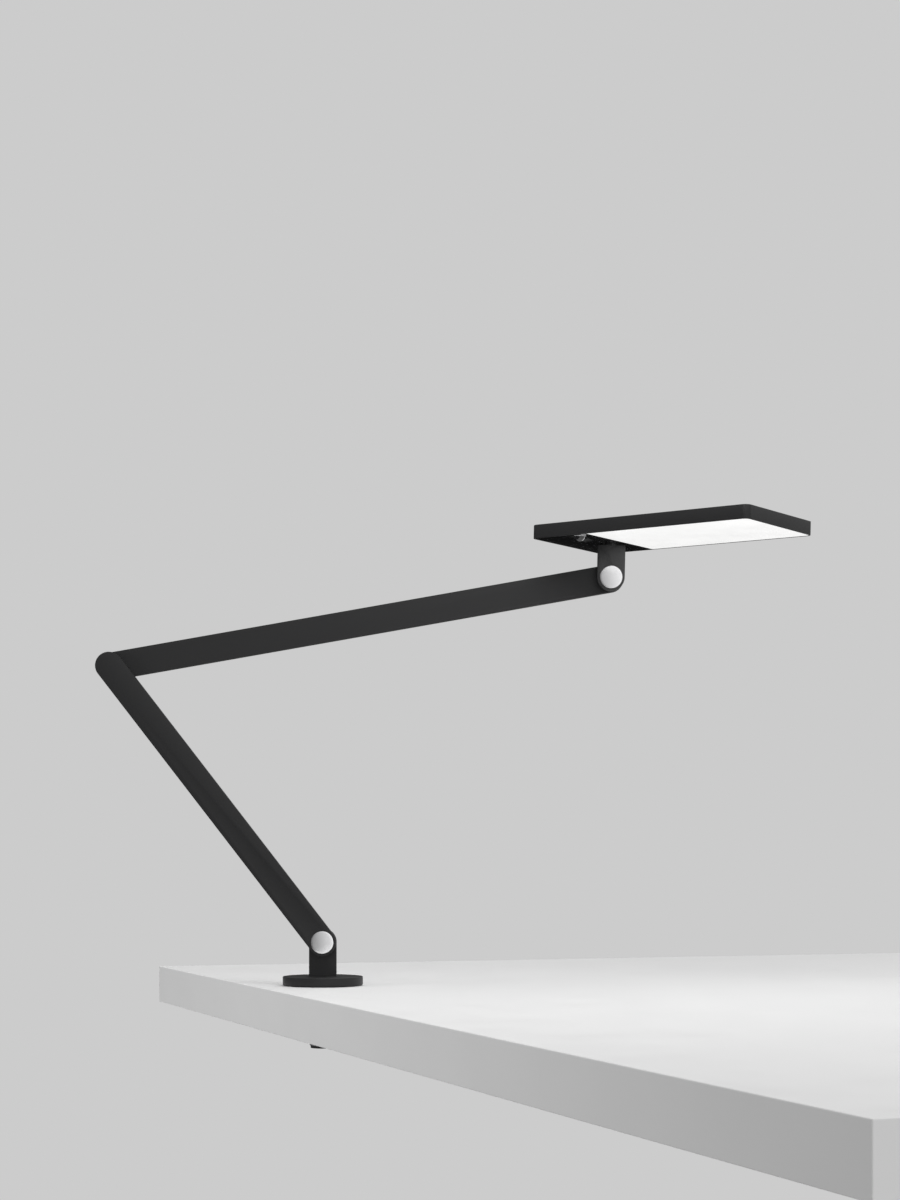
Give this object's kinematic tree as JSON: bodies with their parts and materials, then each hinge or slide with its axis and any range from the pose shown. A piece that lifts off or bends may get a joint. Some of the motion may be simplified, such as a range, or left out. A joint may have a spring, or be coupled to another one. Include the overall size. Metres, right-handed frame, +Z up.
{
  "type": "architect desk lamp",
  "caption": "Flat-bar architect desk lamp: disc base clamped through a desk, two hinged flat arms and a slim turning rectangular light panel.",
  "frame": {"origin": "centre of the base disc's underside, on the desk top, on the axis of the hole in the desk", "axes": "+Z up out of the desk, +X from the base towards the light panel in the plane of the arms, -Y the side of the shoulder and wrist caps"},
  "size_m": [0.667, 0.2321, 0.4945],
  "materials": {
    "black_steel": "satin black powder coat on steel",
    "black_aluminium": "satin black powder coat on aluminium",
    "gloss_black": "glossy moulded",
    "polished_aluminium": "turned and softly polished",
    "chrome": "bright plated",
    "zinc_steel": "zinc plated",
    "blackened_steel": "black oxide",
    "black_rubber": "matte",
    "white_nylon": "plain moulded",
    "opal_acrylic": "satin opal",
    "clear_acrylic": "clear, dot printed behind",
    "white_film": "matte white",
    "bare_aluminium": "mill finish",
    "circuit_board": "green solder mask",
    "cable_jacket": "matte jacket"
  },
  "bodies": {
    "base": {"base_disc": "black_steel", "base_pad": "black_rubber", "base_bush": "white_nylon", "desk_stud": "zinc_steel", "stud_screw_1": "zinc_steel", "stud_screw_2": "zinc_steel", "stud_screw_3": "zinc_steel", "stud_grommet": "black_rubber"},
    "clamp": {"clamp_pad": "black_rubber", "clamp_washer": "zinc_steel", "clamp_nut": "zinc_steel"},
    "base_turn": {"base_ear": "black_steel", "base_wave_washer": "blackened_steel", "base_lock_nut": "zinc_steel", "shoulder_bolt": "blackened_steel", "shoulder_friction_washer": "white_nylon", "shoulder_disc_spring": "blackened_steel", "shoulder_nut": "zinc_steel"},
    "lower_arm": {"lower_arm": "black_aluminium", "lower_arm_cover": "black_aluminium", "lower_arm_cable": "cable_jacket", "shoulder_cap": "polished_aluminium", "elbow_stud": "blackened_steel", "elbow_retaining_ring": "zinc_steel", "elbow_disc_spring": "blackened_steel", "elbow_nut": "zinc_steel"},
    "upper_arm": {"upper_arm": "black_aluminium", "upper_arm_cover": "black_aluminium", "upper_arm_cable": "cable_jacket", "elbow_cap": "polished_aluminium", "elbow_friction_washer": "white_nylon", "wrist_bolt": "blackened_steel", "wrist_friction_washer": "white_nylon", "wrist_disc_spring": "blackened_steel", "wrist_nut": "zinc_steel"},
    "wrist": {"head_ear": "black_steel", "wrist_cap": "polished_aluminium", "swivel_spring_washer": "blackened_steel", "swivel_nut": "zinc_steel"},
    "head": {"head_tray": "black_aluminium", "control_panel": "gloss_black", "diffuser": "opal_acrylic", "light_guide": "clear_acrylic", "reflector_sheet": "white_film", "heat_spreader": "bare_aluminium", "led_strip_1": "white_film", "led_strip_2": "white_film", "swivel_bush": "white_nylon", "swivel_bracket": "zinc_steel", "bracket_screw_1": "zinc_steel", "bracket_screw_2": "zinc_steel", "bracket_screw_3": "zinc_steel", "bracket_screw_4": "zinc_steel", "driver_board": "circuit_board", "button_board": "circuit_board", "button_switch": "white_nylon", "button_ring": "chrome"},
    "button": {"button": "gloss_black"}
  },
  "joints": [
    {"name": "clamp_slide", "type": "slide", "parent": "base", "child": "clamp", "axis": [0, 0, 1], "range_m": [-0.006, 0.03]},
    {"name": "base_swivel", "type": "hinge", "parent": "base", "child": "base_turn", "pos_m": [0, 0, 0], "axis": [0, 0, 1], "range_deg": [-170, 170]},
    {"name": "shoulder", "type": "hinge", "parent": "base_turn", "child": "lower_arm", "pos_m": [0, -0.00445, 0.0414], "axis": [0, 1, 0], "range_deg": [-30, 60]},
    {"name": "elbow", "type": "hinge", "parent": "lower_arm", "child": "upper_arm", "pos_m": [-0.20318, -0.00445, 0.30523], "axis": [0, 1, 0], "range_deg": [-110, 45]},
    {"name": "wrist", "type": "hinge", "parent": "upper_arm", "child": "wrist", "pos_m": [0.27517, -0.00445, 0.38941], "axis": [0, 1, 0], "range_deg": [-18, 85]},
    {"name": "head_swivel", "type": "hinge", "parent": "wrist", "child": "head", "pos_m": [0.27592, -0.0089, 0.4201], "axis": [0.0244, 0, 0.9997], "range_deg": [-52.4, 127.6]},
    {"name": "button_press", "type": "slide", "parent": "head", "child": "button", "axis": [0.0244, 0, 0.9997], "range_m": [0, 0.001], "stiffness_N_per_m": 400, "springref_m": -0.002}
  ]
}
